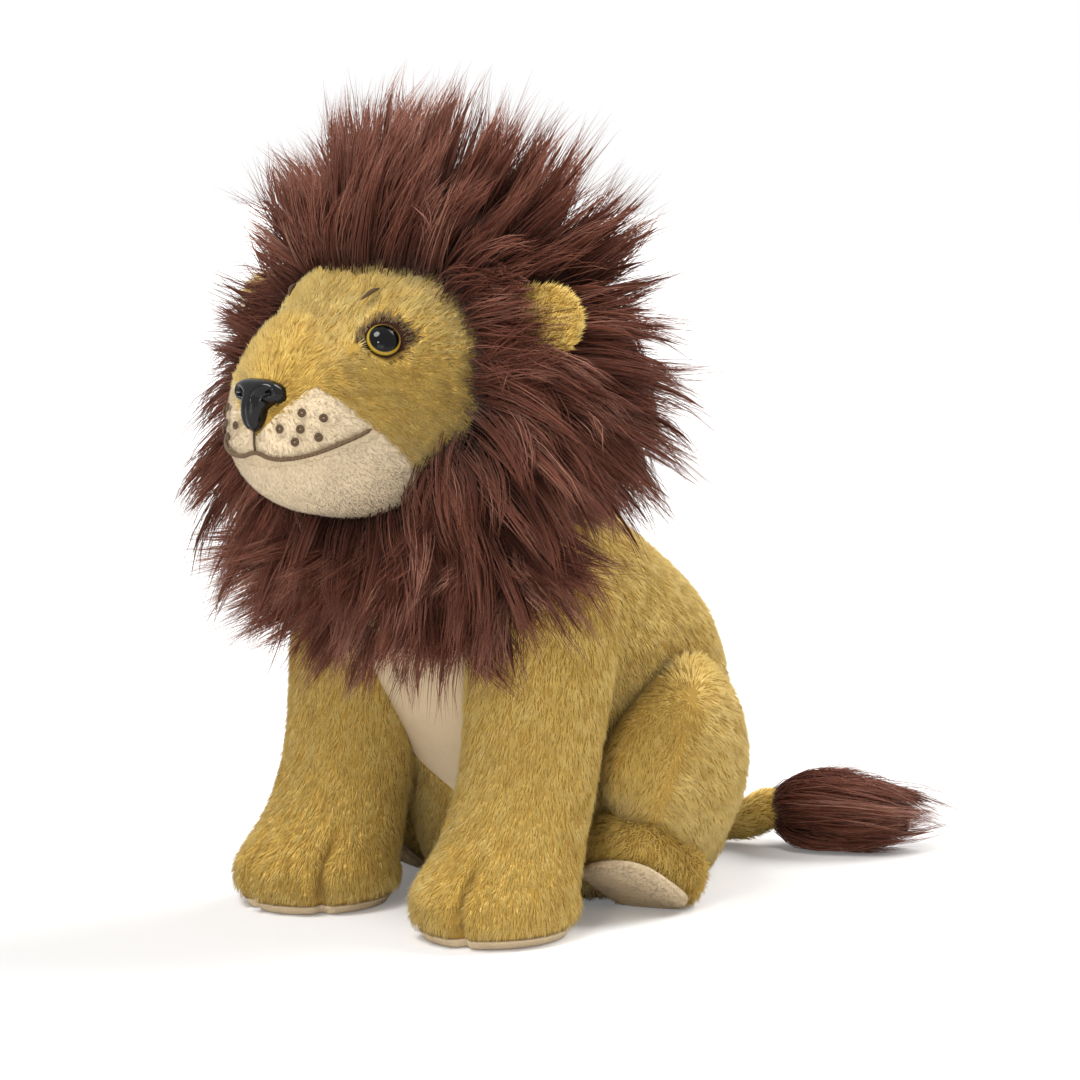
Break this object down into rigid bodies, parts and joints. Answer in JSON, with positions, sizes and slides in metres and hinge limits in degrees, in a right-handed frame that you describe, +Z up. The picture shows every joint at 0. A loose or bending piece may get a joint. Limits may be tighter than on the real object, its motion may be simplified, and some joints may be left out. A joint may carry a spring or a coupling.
{
  "type": "plush lion",
  "caption": "Sitting plush lion with short golden pile, pale muzzle and bib, long shaggy brown mane and tufted tail; head, ears, legs and tail bend at sewn seams and spring back.",
  "frame": {"origin": "On the floor, on the flat seat under the torso, in the lion's middle plane.", "axes": "+Z up, -Y the way the lion faces, +X to the lion's left."},
  "size_m": [0.1467, 0.2312, 0.2269],
  "materials": {
    "gold_plush": "short combed pile",
    "cream_plush": "very short velvety pile",
    "mane_pile": "long shaggy pile in pointed locks",
    "fibre_filling": "loose polyester fibre",
    "eye_plastic": "clear gloss over a dark pupil and a gold ring",
    "nose_plastic": "moulded gloss",
    "washer_plastic": "moulded satin",
    "brown_thread": "embroidery thread"
  },
  "bodies": {
    "torso": {"torso_cover": "gold_plush", "belly_panel": "cream_plush", "torso_filling": "fibre_filling", "mane_ruff": "mane_pile"},
    "head": {"head_cover": "gold_plush", "muzzle_panel": "cream_plush", "chin_panel": "cream_plush", "head_filling": "fibre_filling", "mane_pelt": "mane_pile", "mouth_thread": "brown_thread", "nose": "nose_plastic", "nose_washer": "washer_plastic", "eye_left": "eye_plastic", "eye_right": "eye_plastic", "eye_washer_left": "washer_plastic", "eye_washer_right": "washer_plastic"},
    "ear_left": {"ear_front_left": "gold_plush", "ear_back_left": "gold_plush"},
    "ear_right": {"ear_front_right": "gold_plush", "ear_back_right": "gold_plush"},
    "front_leg_left": {"front_leg_left": "gold_plush", "front_leg_filling_left": "fibre_filling", "front_sole_left": "cream_plush"},
    "front_leg_right": {"front_leg_right": "gold_plush", "front_leg_filling_right": "fibre_filling", "front_sole_right": "cream_plush"},
    "hind_leg_left": {"thigh_left": "gold_plush", "thigh_filling_left": "fibre_filling", "hind_foot_left": "gold_plush", "hind_foot_filling_left": "fibre_filling", "hind_sole_left": "cream_plush"},
    "hind_leg_right": {"thigh_right": "gold_plush", "thigh_filling_right": "fibre_filling", "hind_foot_right": "gold_plush", "hind_foot_filling_right": "fibre_filling", "hind_sole_right": "cream_plush"},
    "tail": {"tail_cover": "gold_plush", "tail_filling": "fibre_filling", "tail_tuft": "mane_pile"}
  },
  "joints": [
    {"name": "head_turn", "type": "hinge", "parent": "torso", "child": "head", "pos_m": [0, -0.06, 0.112], "axis": [0, 0, 1], "range_deg": [-18, 18], "stiffness_Nm_per_rad": 0.2},
    {"name": "ear_left_fold", "type": "hinge", "parent": "head", "child": "ear_left", "pos_m": [0.04062, -0.069, 0.16312], "axis": [0.3486, 0, -0.9373], "range_deg": [-10, 10], "stiffness_Nm_per_rad": 0.02},
    {"name": "ear_right_fold", "type": "hinge", "parent": "head", "child": "ear_right", "pos_m": [-0.04062, -0.069, 0.16312], "axis": [0.3486, 0, 0.9373], "range_deg": [-10, 10], "stiffness_Nm_per_rad": 0.02},
    {"name": "front_leg_left_spread", "type": "hinge", "parent": "torso", "child": "front_leg_left", "pos_m": [0.018, -0.047, 0.104], "axis": [0, -1, 0], "range_deg": [0, 12], "stiffness_Nm_per_rad": 0.3},
    {"name": "front_leg_right_spread", "type": "hinge", "parent": "torso", "child": "front_leg_right", "pos_m": [-0.018, -0.047, 0.104], "axis": [0, 1, 0], "range_deg": [0, 12], "stiffness_Nm_per_rad": 0.3},
    {"name": "hind_leg_left_spread", "type": "hinge", "parent": "torso", "child": "hind_leg_left", "pos_m": [0.04, 0.027, 0.035], "axis": [0, 0, 1], "range_deg": [0, 16], "stiffness_Nm_per_rad": 0.3},
    {"name": "hind_leg_right_spread", "type": "hinge", "parent": "torso", "child": "hind_leg_right", "pos_m": [-0.04, 0.027, 0.035], "axis": [0, 0, -1], "range_deg": [0, 16], "stiffness_Nm_per_rad": 0.3},
    {"name": "tail_swing", "type": "hinge", "parent": "torso", "child": "tail", "pos_m": [0, 0.0587, 0.0076], "axis": [0, 0, 1], "range_deg": [-20, 60], "stiffness_Nm_per_rad": 0.02}
  ]
}
